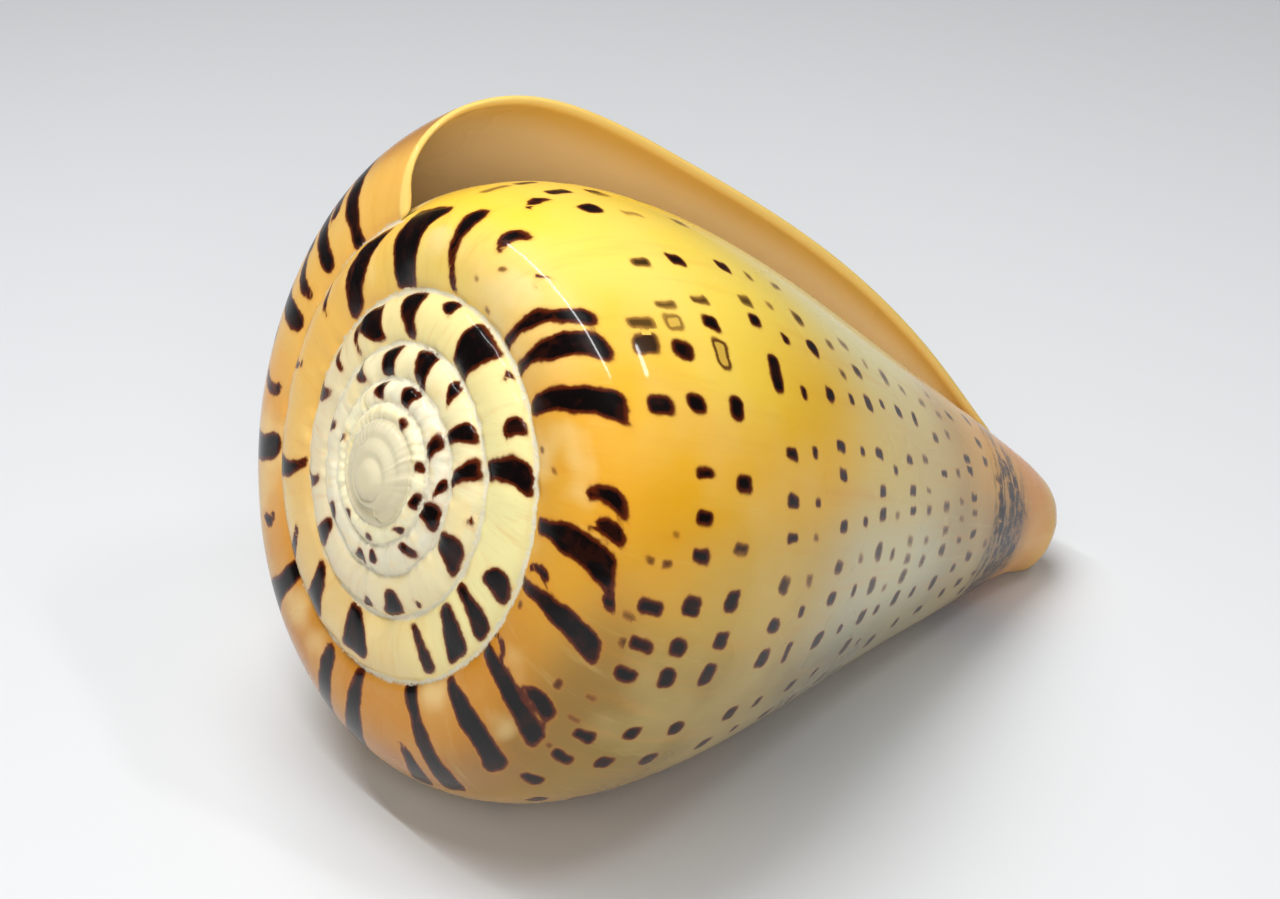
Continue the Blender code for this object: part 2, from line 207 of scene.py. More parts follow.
# The rows of spots: place along the profile at the two row turns, a spot's height along the
# profile, and the spots as thousandths of a turn before the lip, and wide. A third number is the
# strength of a fainter one, and a fourth, 1, marks a ring. The spots fill a share of these sizes.
ROW_TURNS = (-0.85, -0.65)
ROW_STRETCH = 0.3
SPOT_FILL = 0.90
SPOT_ROWS = (
    (0.236, 0.218, 0.036, (
        (957, 8, 0.5), (814, 9, 0.7), (802, 13, 0.85), (770, 12), (670, 9), (651, 9),
        (632, 9), (589, 9), (570, 9), (543, 10))),
    (0.272, 0.268, 0.024, (
        (983, 8, 0.6), (955, 9, 0.5), (903, 13), (853, 8, 0.8), (825, 5, 0.7), (815, 10, 0.6, 1),
        (800, 11), (772, 11), (739, 7), (718, 9), (700, 7), (676, 13), (654, 10), (637, 13),
        (600, 11), (576, 11))),
    (0.314, 0.319, 0.019, (
        (927, 10, 0.5), (899, 4, 0.4), (859, 9), (832, 5, 0.8), (818, 11), (801, 19, 0.9, 1), (773, 12),
        (737, 9), (706, 6, 0.8), (681, 11), (661, 10), (642, 13), (607, 11), (581, 11))),
    (0.372, 0.383, 0.016, (
        (905, 8, 0.5), (865, 9), (840, 8, 0.7), (827, 10), (797, 24), (756, 7), (732, 8), (714, 6),
        (690, 10, 0.8), (668, 10), (649, 13), (612, 11), (586, 11))),
    (0.404, 0.417, 0.008, (
        (865, 6, 0.6), (844, 5, 0.5), (822, 8), (791, 8), (759, 6), (734, 5), (715, 4, 0.6),
        (692, 7, 0.6), (674, 8), (650, 13), (615, 9), (590, 9))),
    (0.443, 0.461, 0.015, (
        (870, 8, 0.5), (845, 10, 0.7), (825, 11), (796, 10), (766, 7), (751, 7), (722, 7),
        (699, 10, 0.8), (680, 11), (653, 13), (617, 11), (589, 11))),
    (0.480, 0.498, 0.009, (
        (836, 8, 0.6), (815, 6, 0.7), (800, 8), (767, 6), (725, 6), (703, 6, 0.5), (682, 8),
        (655, 8), (619, 9), (593, 9))),
    (0.512, 0.534, 0.014, (
        (845, 8, 0.5), (824, 11, 0.8), (803, 11), (770, 8), (745, 8), (730, 8), (706, 12, 0.8),
        (683, 15, 0.8), (659, 13), (634, 15), (602, 12))),
    (0.543, 0.564, 0.009, (
        (840, 8, 0.4), (808, 9), (761, 6), (730, 4, 0.6), (703, 9, 0.8), (678, 5, 0.5), (660, 9),
        (630, 9))),
    (0.577, 0.600, 0.014, (
        (838, 12, 0.6), (810, 12), (774, 6), (750, 7), (735, 8), (712, 9, 0.5), (698, 9, 0.6),
        (683, 14, 0.7), (664, 13), (620, 14))),
    (0.612, 0.637, 0.011, (
        (838, 9, 0.5), (813, 11), (778, 6, 0.7), (753, 5, 0.6), (738, 7, 0.8), (711, 8, 0.5),
        (694, 11, 0.7), (664, 12), (630, 12))),
    (0.651, 0.680, 0.014, (
        (840, 10, 0.5), (805, 9, 0.8), (772, 8), (743, 8, 0.7), (721, 9, 0.6), (702, 11, 0.8),
        (667, 16), (632, 12))),
    (0.685, 0.717, 0.010, (
        (862, 8, 0.5), (839, 8, 0.5), (819, 9, 0.6), (779, 8, 0.7), (750, 6, 0.6), (734, 6, 0.5),
        (712, 8, 0.8), (680, 10), (645, 12))),
    (0.716, 0.748, 0.014, (
        (850, 12, 0.8), (800, 8), (789, 10), (760, 7), (743, 8, 0.7), (718, 11), (692, 11),
        (655, 12))),
    (0.768, 0.776, 0.012, (
        (875, 14, 0.7), (838, 17, 0.8), (812, 13, 0.8), (706, 10, 0.6), (663, 12, 0.7), (630, 14))),
    (0.790, 0.812, 0.014, (
        (796, 10, 0.6), (772, 14, 0.7), (748, 24), (728, 22), (690, 18), (655, 14, 0.8), (625, 16, 0.8))),
    (0.818, 0.838, 0.011, (
        (822, 10, 0.5), (781, 14, 0.7), (757, 12, 0.6), (726, 10, 0.5), (688, 18, 0.7), (655, 18, 0.8))),
    (0.838, 0.862, 0.012, (
        (806, 16, 0.8), (787, 16, 0.7), (757, 9, 0.6), (722, 12, 0.7), (690, 16, 0.8), (650, 20, 0.7))),
)

# Small brown specks: turn, place, width and height, in thousandths, and strength
SPECKS = (
    (-608, 140, 6, 12, 0.8), (-694, 205, 4, 10, 0.7), (-693, 226, 4, 10, 0.8), (-708, 235, 3, 7, 0.5),
    (-662, 192, 4, 20, 0.5), (-648, 196, 6, 12, 0.6), (-612, 190, 3, 16, 0.5),
    (-596, 186, 3, 18, 0.5), (-876, 110, 5, 12, 0.7), (-893, 62, 4, 8, 0.5), (-742, 20, 5, 10, 0.7),
    (-726, 48, 4, 12, 0.5), (-868, 20, 5, 10, 0.6), (-572, 186, 4, 12, 0.5), (-626, 22, 5, 10, 0.7),
)

# The side that the photo hides has its spots where the rows cross columns, drawn at random
HIDDEN_START = -0.552
HIDDEN_END = -0.012
UNDER_LIP_TURNS = (-0.985, -0.958, -0.932)
COLUMN_GAPS = (0.020, 0.033)
COLUMN_DRIFT = 0.075
COLUMN_SWAY = 0.002
SHOULDER_ALONG = 0.318
HIDDEN_SHARE = 0.86
HIDDEN_WIDTH = 0.011
HIDDEN_SIZES = (0.65, 1.15)
HIDDEN_SEED = 7

# The base colours, with painted shade: turn and place along the profile in the middle of a patch,
# how far it reaches in turns and along the profile, and its colour. The darkest patches low on the
# flank, at turns -0.58 to -0.61, are partly painted shade over the shell's own colour.
GROUND = (224, 176, 102)
GROUND_WEIGHT = 0.04
GROUND_AND_SHADE_PATCHES = (
    (-0.93, 0.23, 0.07, 0.10, (255, 212, 40)), (-0.95, 0.08, 0.06, 0.08, (250, 218, 112)),
    (-0.86, 0.12, 0.06, 0.07, (250, 210, 124)), (-0.85, 0.34, 0.04, 0.12, (255, 224, 92)),
    (-0.79, 0.32, 0.025, 0.06, (250, 214, 78)), (-0.79, 0.22, 0.04, 0.05, (232, 184, 20)),
    (-0.74, 0.30, 0.035, 0.12, (246, 182, 10)), (-0.73, 0.16, 0.05, 0.10, (240, 172, 44)),
    (-0.79, 0.44, 0.04, 0.07, (244, 190, 50)), (-0.77, 0.54, 0.05, 0.06, (234, 204, 116)),
    (-0.69, 0.34, 0.035, 0.12, (210, 174, 84)), (-0.71, 0.23, 0.03, 0.05, (222, 156, 12)),
    # Partly painted shade: the dark patches at turns -0.58 to -0.61, low on the flank
    (-0.60, 0.30, 0.05, 0.16, (150, 124, 62)), (-0.69, 0.56, 0.04, 0.10, (206, 206, 176)),
    (-0.86, 0.56, 0.05, 0.10, (232, 222, 158)), (-0.79, 0.64, 0.06, 0.07, (220, 194, 132)),
    (-0.61, 0.58, 0.06, 0.14, (140, 138, 118)), (-0.82, 0.78, 0.08, 0.06, (226, 162, 78)),
    (-0.70, 0.73, 0.07, 0.05, (160, 142, 108)), (-0.84, 0.71, 0.04, 0.04, (190, 156, 96)),
    (-0.68, 0.83, 0.10, 0.05, (92, 74, 62)), (-0.50, 0.92, 9.0, 0.05, (224, 146, 56)),
    (-0.50, 1.00, 9.0, 0.03, (226, 168, 80)), (-0.68, 0.07, 0.06, 0.08, (226, 166, 56)),
    (-0.55, 0.06, 0.08, 0.06, (206, 134, 24)), (-0.58, 0.17, 0.08, 0.05, (150, 110, 46)),
    (-0.36, 0.07, 0.10, 0.08, (204, 134, 40)), (-0.22, 0.07, 0.06, 0.08, (232, 166, 86)),
    (-0.08, 0.07, 0.08, 0.08, (248, 192, 92)), (-0.12, 0.155, 0.12, 0.035, (176, 112, 72)),
    (-0.34, 0.155, 0.12, 0.035, (170, 108, 74)), (-0.40, 0.40, 0.10, 0.16, (214, 166, 92)),
    (-0.15, 0.36, 0.12, 0.16, (238, 184, 74)), (-0.30, 0.66, 0.14, 0.12, (210, 180, 124)),
    (-1.10, 0.08, 0.10, 0.30, (246, 194, 98)), (-1.36, 0.08, 0.14, 0.30, (232, 196, 128)),
    (-1.65, 0.08, 0.18, 0.30, (246, 236, 170)), (-1.92, 0.08, 0.12, 0.30, (252, 232, 156)),
    (-2.30, 0.08, 0.25, 0.30, (236, 222, 184)), (-2.80, 0.08, 0.25, 0.30, (246, 234, 182)),
    (-3.50, 0.08, 0.40, 0.30, (238, 232, 206)), (-4.40, 0.08, 0.40, 0.30, (250, 244, 206)),
    (-5.20, 0.08, 0.30, 0.30, (244, 234, 192)), (-5.60, 0.08, 0.20, 0.30, (206, 198, 172)),
)

# Where the dark blotches above the tip are dense
HAZE_TURN = -0.69
HAZE_TURNS = 0.13
HAZE_PLACE = 0.828
HAZE_SPREAD = 0.050
HAZE_LEAST = 0.45

# Screen colours. The marks have two, at the shoulder and near the tip.
GROWTH_BROWN = (222, 140, 40)
GROWTH_PALE = (252, 232, 150)
CLOUD_PALE = (244, 220, 150)
FLUSH_PALE = (252, 226, 158)
STAIN_ORANGE = (214, 128, 44)
MARK_BROWN = ((96, 36, 12), (98, 72, 58))
MARK_DARK = ((13, 7, 7), (32, 23, 29))
BLOTCH_DARK = (30, 22, 30)
DUST_GREY = (232, 224, 198)
LINING_CREAM = (255, 230, 176)
LIP_YELLOW = (246, 208, 116)
FLOOR_GREY = (222, 224, 226)

# Noise that follows the growth: cells a turn and along the profile, level, detail and roughness
GROWTH_CELLS = (90.0, 5.0, 0.0, 4.0, 0.6)
THREAD_CELLS = (3.0, 60.0, 0.0, 3.0, 0.6)
SCRATCH_CELLS = (420.0, 60.0, 0.0, 2.0, 0.6)
FLUSH_CELLS = (17.0, 6.0, 3.0, 2.0, 0.5)
BLOTCH_CELLS = (15.0, 78.0, 0.0, 2.0, 0.6)

# Noise in space: scale, detail and roughness. Every noise goes up and down about its middle.
CLOUD_NOISE = (70.0, 3.0, 0.5)
GRAIN_NOISE = (2600.0, 2.0, 0.6)
WORN_NOISE = (420.0, 3.0, 0.6)
MOTTLE_NOISE = (900.0, 2.0, 0.7)
NOISE_MIDDLE = 0.5

# Wobble of the edges: scale, and height in millimetres. A spot's middle wobbles too, both ways.
FLAME_WOBBLES = ((300.0, 1.3), (1500.0, 0.3))
SPOT_WOBBLES = ((420.0, 1.1), (420.0, 0.9))
SPOT_SHIFT = (0.4, 0.2, 0.7)
SPOT_EDGE_WOBBLE = (2200.0, 0.18)
SPOT_CORNER = 0.78
DUST_WOBBLE = (1500.0, 0.5)

# Each change starts and ends at the first two numbers, and goes between the last two, or 0 and 1.
# Depths in marks and distances from the sutures are in millimetres.
BROWN_LINES = (0.50, 0.80, 0.0, 0.25)
PALE_LINES = (0.42, 0.20, 0.0, 0.20)
PALE_CLOUDS = (0.42, 0.72, 0.0, 0.25)
FLUSH_SHARE = (0.50, 0.72, 0.0, 0.55)
FLUSH_PLACES = (0.20, 0.12)
FLAME_STAIN = (-0.55, 0.1)
SPOT_STAIN = (-0.45, 0.1, 0.0, 0.8)
FLAME_RIM = (-0.18, 0.12)
SPOT_RIM = (-0.20, 0.12)
FLAME_CORE = (0.08, 0.50)
SPOT_CORE = (0.04, 0.45)
RING_HOLE = (0.22, 0.50)
FADED_PLACES = (0.42, 0.78)
WORN_CORE = (0.36, 0.52, 0.86, 1.0)
BLOTCH_EDGE = (0.54, 0.68)
BLOTCH_SHARE = (0.15, 0.70, 0.0, 0.95)
MOTTLE_SHARE = (0.38, 0.56, 0.35, 1.0)
DUST_EDGE = (0.30, 0.06)
DUST_GRAIN = (0.30, 0.60, 0.4, 1.0)
LIP_TURNS_SHOWN = (-0.030, -0.002)
BAND_PLACES = (0.60, 0.80, 0.0, 0.15)
GLAZE_ROUGHNESS = (0.3, 0.7, 0.22, 0.34)
STAIN_STRENGTH = 0.30
RING_STRENGTH = 0.85
HAZE_STRENGTH = 0.22

# The bump of the growth lines, scratches and dust, and its depth in metres
GROWTH_BUMP = 0.7
SCRATCH_BUMP = 0.12
DUST_BUMP = 0.8
BUMP_STRENGTH = 0.5
BUMP_DEPTH = 0.00016
DUST_ROUGHNESS = (0.7, 0.7, 0.7, 1.0)
FLOOR_ROUGHNESS = 0.7
GLAZE = {
    "Specular IOR Level": 0.12,
    "Coat Weight": 0.32,
    "Coat Roughness": 0.06,
    "Subsurface Weight": 0.06,
    "Subsurface Scale": 0.0008,
    "Subsurface Radius": (1.0, 0.6, 0.3),
}

# The camera
IMAGE_WIDTH = 1280
FOCAL_PIXELS = 2500
SENSOR_WIDTH = 36.0
NEAR_CLIP = 0.01
CAMERA_PLACE = (-0.144345, -0.170017, 0.139027)
CAMERA_AZIMUTH = math.radians(-38.488)
CAMERA_ELEVATION = math.radians(27.078)
CAMERA_ROLL = math.radians(-0.390)

# The lights: place, point that it faces, sides, power, and whether the glaze mirrors it. The
# second side runs about along the shell's width, and only the two narrow lamps leave a gleam.
SECOND_SIDE = (0.0, 1.0, 0.0)
SHELL_MIDDLE = (0.0, 0.0, 0.03)
SHOULDER_TOP = (-0.028, -0.015, 0.055)
LIGHTS = {
    "key": ((0.0, 0.10, 0.52), SHELL_MIDDLE, (0.30, 0.30), 1.75, False),
    "fill": ((-0.40, -0.26, 0.42), SHELL_MIDDLE, (0.30, 0.30), 0.45, False),
    "front": ((-0.26, -0.38, 0.26), SHELL_MIDDLE, (0.20, 0.20), 0.74, False),
    "tube": ((-0.155, 0.01, 0.43), SHOULDER_TOP, (0.010, 0.46), 0.85, True),
    "lamp": ((0.096, -0.21, 0.385), SHOULDER_TOP, (0.014, 0.08), 0.20, True),
}
SKY_COLOUR = (0.90, 0.94, 1.0, 1.0)
SKY_STRENGTH = 0.055
FLOOR_SIDE = 3.0


def smooth_step(value):
    value = np.clip(value, 0.0, 1.0)
    return value * value * (3.0 - 2.0 * value)


def mix(low, high, share):
    return low * (1.0 - share) + high * share


def linear(red, green, blue):
    """A linear colour from the three 0 to 255 values of a screen colour."""
    channels = []
    for value in (red, green, blue):
        value = value / 255.0
        channels.append(value / 12.92 if value <= 0.04045 else ((value + 0.055) / 1.055) ** 2.4)
    return (*channels, 1.0)


def suture(turn):
    """Radius and height of the suture, with the apex at height 0."""
    radius = SUTURE_RADIUS * np.exp(SUTURE_GROWTH[0] * turn + SUTURE_GROWTH[1] * turn ** 2)
    size = radius / SUTURE_RADIUS
    depth = sum(factor * size ** (power + 1) for power, factor in enumerate(SPIRE_DEPTH))
    return radius, -depth


def profile_knots(turn):
    """The points that the profile passes through, as radius and height, for each turn."""
    radius_0, height_0 = suture(turn)
    next_radius, next_height = suture(turn + 1.0)
    shoulder = SHOULDER_RADIUS * np.exp(SHOULDER_GROWTH * turn)
    free = smooth_step((turn + 1.0) / COVERED_TURNS)
    edge_radius = mix(next_radius, mix(radius_0, shoulder, RAMP_EDGE_SHARE), free)
    edge_height = mix(next_height, height_0 - RAMP_EDGE_DROP * shoulder, free)
    bulge = mix(SPIRE_BULGE, RAMP_BULGE, smooth_step((turn - BULGE_START) / BULGE_TURNS))
    ramp_height = 0.5 * (height_0 + edge_height) + bulge * (edge_radius - radius_0)
    shoulder_height = height_0 - SHOULDER_DROP * shoulder
    radii = [radius_0, 0.5 * (radius_0 + edge_radius), edge_radius, shoulder]
    heights = [height_0, ramp_height, edge_height, shoulder_height]
    flared = smooth_step(1.0 + turn / FLARE_TURNS)
    stepped = smooth_step((STEP_START - turn) / STEP_TURNS)
    for share, radius, growth, flare, step in SIDE:
        radii.append(radius + growth * turn + flare * flared - step * stepped)
        heights.append(mix(shoulder_height, -LENGTH, share))
    return np.stack([np.stack(radii, -1), np.stack(heights, -1)], -1)


def spline_point(knots, span, share):
    """A point of the natural cubic spline through each row of knots, at a share of one span."""
    steps = np.sqrt(np.linalg.norm(np.diff(knots, axis=1), axis=2))
    count = knots.shape[1]
    matrix = np.zeros((len(knots), count, count))
    right = np.zeros(knots.shape)
    matrix[:, 0, 0] = 1.0
    matrix[:, -1, -1] = 1.0
    slopes = np.diff(knots, axis=1) / steps[..., None]
    for row in range(1, count - 1):
        matrix[:, row, row - 1] = steps[:, row - 1]
        matrix[:, row, row] = 2.0 * (steps[:, row - 1] + steps[:, row])
        matrix[:, row, row + 1] = steps[:, row]
        right[:, row] = 6.0 * (slopes[:, row] - slopes[:, row - 1])
    curving = np.linalg.solve(matrix, right)
    line = np.arange(len(knots))
    width = steps[line, span][:, None]
    far = share[:, None]
    near = 1.0 - far
    start = knots[line, span]
    end = knots[line, span + 1]
    bend = (near ** 3 - near) * curving[line, span] + (far ** 3 - far) * curving[line, span + 1]
    return near * start + far * end + bend * width ** 2 / 6.0


def row_shares(span):
    """Shares of the rows of one span, closer together where it meets a suture."""
    shares = np.arange(SPAN_ROWS[span]) / SPAN_ROWS[span]
    if span == 0:
        return shares ** SUTURE_CROWDING
    if span == 1:
        return 1.0 - (1.0 - shares) ** SUTURE_CROWDING
    return shares


def profile_rows():
    """Span and share of each row of the profile, and how far along the profile it lies."""
    spans = np.concatenate([np.full(rows, span) for span, rows in enumerate(SPAN_ROWS)])
    shares = np.concatenate([row_shares(span) for span in range(len(SPAN_ROWS))])
    spans = np.append(spans, len(SPAN_ROWS) - 1)
    shares = np.append(shares, 1.0)
    knots = profile_knots(np.zeros(1))[0]
    steps = np.sqrt(np.linalg.norm(np.diff(knots, axis=0), axis=1))
    starts = np.append(0.0, np.cumsum(steps))
    along = (starts[spans] + shares * steps[spans]) / starts[-1]
    return spans, shares, along


def in_space(turn, radius, height):
    """Points of the shell where it lies, from their turn, radius and height."""
    low = np.clip((-height / LENGTH - LEAN_START) / (1.0 - LEAN_START), 0.0, 1.0) ** 2
    angle = LIP_ANGLE + 2.0 * math.pi * turn
    side = radius * np.cos(angle) + TIP_LEAN_SIDE * low
    up = radius * np.sin(angle) + TIP_LEAN_UP * low
    x = APEX[0] + up * math.sin(AXIS_TILT) - height * math.cos(AXIS_TILT)
    z = APEX[2] + up * math.cos(AXIS_TILT) + height * math.sin(AXIS_TILT)
    return np.stack([x, APEX[1] + side, z], -1)


def outer_surface(turns):
    """Points of the surface, by column and row. Where it is covered, the last rows draw up."""
    spans, shares, along = profile_rows()
    notch = NOTCH_TURNS * smooth_step((along - NOTCH_START) / (1.0 - NOTCH_START))
    sweep = LIP_SWEEP[0] + LIP_SWEEP[1] * along + LIP_SWEEP[2] * along ** 2 - notch
    turn = turns[:, None] + sweep[None, :]
    rise = FLOOR_RISE * smooth_step((-1.0 - turns) / FLOOR_TURNS)
    position = np.clip(along[None, :] * (1.0 - rise[:, None]), 0.0, 1.0)
    drawn = np.interp(position, along, spans + shares)
    row_place = np.where(np.arange(len(along))[None, :] > CORNER_ROW, drawn, spans + shares)
    span = np.minimum(row_place.astype(int), len(SPAN_ROWS) - 1)
    share = row_place - span
    knots = profile_knots(turn.ravel())
    profile = spline_point(knots, span.ravel(), share.ravel()).reshape(*turn.shape, 2)
    return in_space(turn, profile[..., 0], profile[..., 1])


def hollow_surface(outer, inner, turns):
    """The inside of the outer wall: outer points moved towards the surface that they face."""
    facing = inner[:, np.maximum(np.arange(outer.shape[1]), CORNER_ROW)]
    across = facing - outer
    gap = np.linalg.norm(across, axis=2)
    wall = mix(WALL, LIP_WALL, smooth_step(1.0 + turns / LIP_TURNS))[:, None]
    share = np.minimum(wall / np.maximum(gap, SMALL_GAP), WALL_SHARE)
    return outer + across * share[..., None]


def suture_distance(points, turns):
    """How far each point of the grid lies from the nearest suture, along its profile."""
    steps = np.linalg.norm(np.diff(points, axis=1), axis=2)
    run = np.concatenate([np.zeros((len(points), 1)), np.cumsum(steps, axis=1)], axis=1)
    to_next = np.abs(run - run[:, NEXT_SUTURE_ROW: NEXT_SUTURE_ROW + 1])
    return np.where(turns[:, None] > -1.0, run, np.minimum(run, to_next))


def wave(value, seed):
    """A smooth random wave of height 1, with a new draw at each whole number."""
    draws = np.random.default_rng(seed).uniform(-1.0, 1.0, WAVE_DRAWS)
    number = np.floor(value).astype(int)
    start = draws[number % WAVE_DRAWS]
    end = draws[(number + 1) % WAVE_DRAWS]
    return mix(start, end, smooth_step(value - number))


def relief(turn, along, distance):
    """Height of the low relief on the outside."""
    groove = -GROOVE_DEPTH * np.exp(-(distance / GROOVE_WIDTH) ** 2)
    sway = SUTURE_WAVE * wave(turn * SUTURE_WAVES, SWAY_SEED)
    sway = sway * np.exp(-(distance / SUTURE_REACH) ** 2)
    young = smooth_step((PLEAT_TURNS[0] - turn) / PLEAT_TURNS[1])
    young = young * smooth_step((PLEAT_PLACES[0] - along) / PLEAT_PLACES[1])
    pleats = PLEAT_HEIGHT * wave(turn * PLEATS + PLEAT_SLANT * along, PLEAT_SEED) * young
    growth = GROWTH_HEIGHT * wave(turn * GROWTH_WAVES + GROWTH_SLANT * along, GROWTH_SEED)
    started = smooth_step((along - RIDGE_START[0]) / (RIDGE_START[1] - RIDGE_START[0]))
    ended = smooth_step((RIDGE_END[1] - along) / (RIDGE_END[1] - RIDGE_END[0]))
    ridges = RIDGE_HEIGHT * np.sin(2.0 * math.pi * RIDGES * along) * started * ended
    return groove + sway + pleats + growth + ridges


def raised(points, turns, along):
    """The outer points with the low relief added along the surface's normals."""
    normal = np.cross(np.gradient(points, axis=0), np.gradient(points, axis=1))
    normal = normal / np.linalg.norm(normal, axis=2)[..., None]
    outward = points[-1, CORNER_ROW] - points[-1].mean(axis=0)
    if normal[-1, CORNER_ROW] @ outward < 0.0:
        normal = -normal
    height = relief(turns[:, None], along[None, :], suture_distance(points, turns))
    height = height * smooth_step((turns[:, None] - FIRST_TURN) / RELIEF_START)
    return points + normal * height[..., None]


def rounded_block(across, down, corner):
    """Signed distance to a rectangle with round corners, below 0 inside."""
    outside = np.hypot(np.maximum(across + corner, 0.0), np.maximum(down + corner, 0.0))
    inside = np.minimum(np.maximum(across, down) + corner, 0.0)
    return outside + inside - corner


def flame_depth(turn, along, around, down):
    """How deep each point lies in the nearest flame, in millimetres, below 0 outside."""
    depth = np.full(turn.shape, NO_FLAME)
    for flame in LAST_FLAMES + SPIRE_FLAMES:
        middle, lean, start, end, width = [number / THOUSAND for number in flame]
        reach = FLAME_REACH * width + abs(lean) + FLAME_BOW
        near = np.abs(turn[:, 0] - middle) < reach
        place = np.clip((along[near] - start) / (end - start), 0.0, 1.0)
        centre = middle + lean * (place - 0.5) - FLAME_BOW * (4.0 * place * (1.0 - place) - 0.5)
        swell = FLAME_SWELL[0] + FLAME_SWELL[1] * smooth_step(place)
        half = 0.5 * width * swell * around[near] * mix(1.0, YOUNG_SWELL, smooth_step(-1.0 - middle))
        side = np.abs(turn[near] - centre) * around[near] - half
        ends = np.maximum(start - along[near], along[near] - end) * down[near]
        depth[near] = np.maximum(depth[near], -rounded_block(side, ends, np.minimum(half, FLAME_ROUND)))
    return depth


def row_place(row, turn):
    """Where a row of spots lies along the profile at a turn."""
    share = (turn - ROW_TURNS[0]) / (ROW_TURNS[1] - ROW_TURNS[0])
    return mix(row[0], row[1], np.clip(share, -ROW_STRETCH, 1.0 + ROW_STRETCH))


def seen_spots():
    """The spots of the side that shows: turn, place, width, height, strength and ring."""
    spots = []
    for *numbers, strength in SPECKS:
        spots.append((*[number / THOUSAND for number in numbers], strength, 0.0))
    for row in SPOT_ROWS:
        for place, width, *more in row[3]:
            turn = -place / THOUSAND
            strength = more[0] if more else 1.0
            ring = more[1] if len(more) > 1 else 0.0
            width = SPOT_FILL * width / THOUSAND
            spots.append((turn, row_place(row, turn), width, SPOT_FILL * row[2], strength, ring))
    return spots


def hidden_spots():
    """The spots of the side that the photo hides, in the same form."""
    draw = np.random.default_rng(HIDDEN_SEED)
    count = int((HIDDEN_END - HIDDEN_START) / COLUMN_GAPS[0])
    columns = HIDDEN_START + np.cumsum(draw.uniform(*COLUMN_GAPS, count))
    columns = [*UNDER_LIP_TURNS, *columns[columns < HIDDEN_END]]
    spots = []
    for row in SPOT_ROWS[1:]:
        for column in columns:
            chance, sway, wide, tall = draw.uniform(size=4)
            turn = column - COLUMN_DRIFT * (row[1] - SHOULDER_ALONG) + COLUMN_SWAY * (2.0 * sway - 1.0)
            width = HIDDEN_WIDTH * mix(*HIDDEN_SIZES, wide)
            height = row[2] * mix(*HIDDEN_SIZES, tall)
            if chance < HIDDEN_SHARE:
                spots.append((turn, row_place(row, turn), width, height, 1.0, 0.0))
    return spots


def millimetres_a_unit(points, turns, along):
    """Millimetres a turn and a unit along the profile, at each point of a grid."""
    across = np.linalg.norm(np.gradient(points, axis=0), axis=2) / np.gradient(turns)[:, None]
    down = np.linalg.norm(np.gradient(points, axis=1), axis=2) / np.gradient(along)[None, :]
    return MILLIMETRES * across, MILLIMETRES * down


def spot_table(points, turns, along):
    """Turn, place, millimetres a turn and a unit, half sizes in millimetres, strength and ring."""
    around, down = millimetres_a_unit(points, turns, along)
    table = []
    for turn, place, width, height, strength, ring in seen_spots() + hidden_spots():
        column = np.abs(turns - turn).argmin()
        row = np.abs(along - place).argmin()
        wide = around[column, row]
        tall = down[column, row]
        table.append((turn, place, wide, tall, 0.5 * width * wide, 0.5 * height * tall, strength, ring))
    return np.array(table)


def ground_and_shade_colour(turn, along):
    """The colour between the marks, as linear values: the shell's own colour, with painted shade in the
    dark patches low on the flank.
    """
    weights = np.full(turn.shape, GROUND_WEIGHT)
    colour = GROUND_WEIGHT * np.array(linear(*GROUND)[:3]) * np.ones((*turn.shape, 1))
    for middle, place, reach, spread, tone in GROUND_AND_SHADE_PATCHES:
        weight = np.exp(-((turn - middle) / reach) ** 2 - ((along - place) / spread) ** 2)
        weights += weight
        colour += weight[..., None] * np.array(linear(*tone)[:3])
    return colour / weights[..., None]


def tip_haze(turn, along):
    """How dense the dark blotches above the tip are."""
    band = np.exp(-((along - HAZE_PLACE) / HAZE_SPREAD) ** 2)
    side = np.exp(-((turn - HAZE_TURN) / HAZE_TURNS) ** 2)
    return band * mix(HAZE_LEAST, 1.0, side)


def paint_fields(points, turns, along, lining):
    """What the material needs at each point of a grid of columns and rows."""
    around, down = millimetres_a_unit(points, turns, along)
    distance = MILLIMETRES * suture_distance(points, turns)
    turn = np.repeat(turns[:, None], len(along), axis=1)
    along = np.repeat(along[None, :], len(turns), axis=0)
    return {
        "place": np.stack([turn, along, np.full(turn.shape, lining)], -1),
        # The base colour between the marks, with painted shade low on the flank
        "ground": ground_and_shade_colour(turn, along),
        "mark": np.stack([flame_depth(turn, along, around, down), distance, tip_haze(turn, along)], -1),
    }


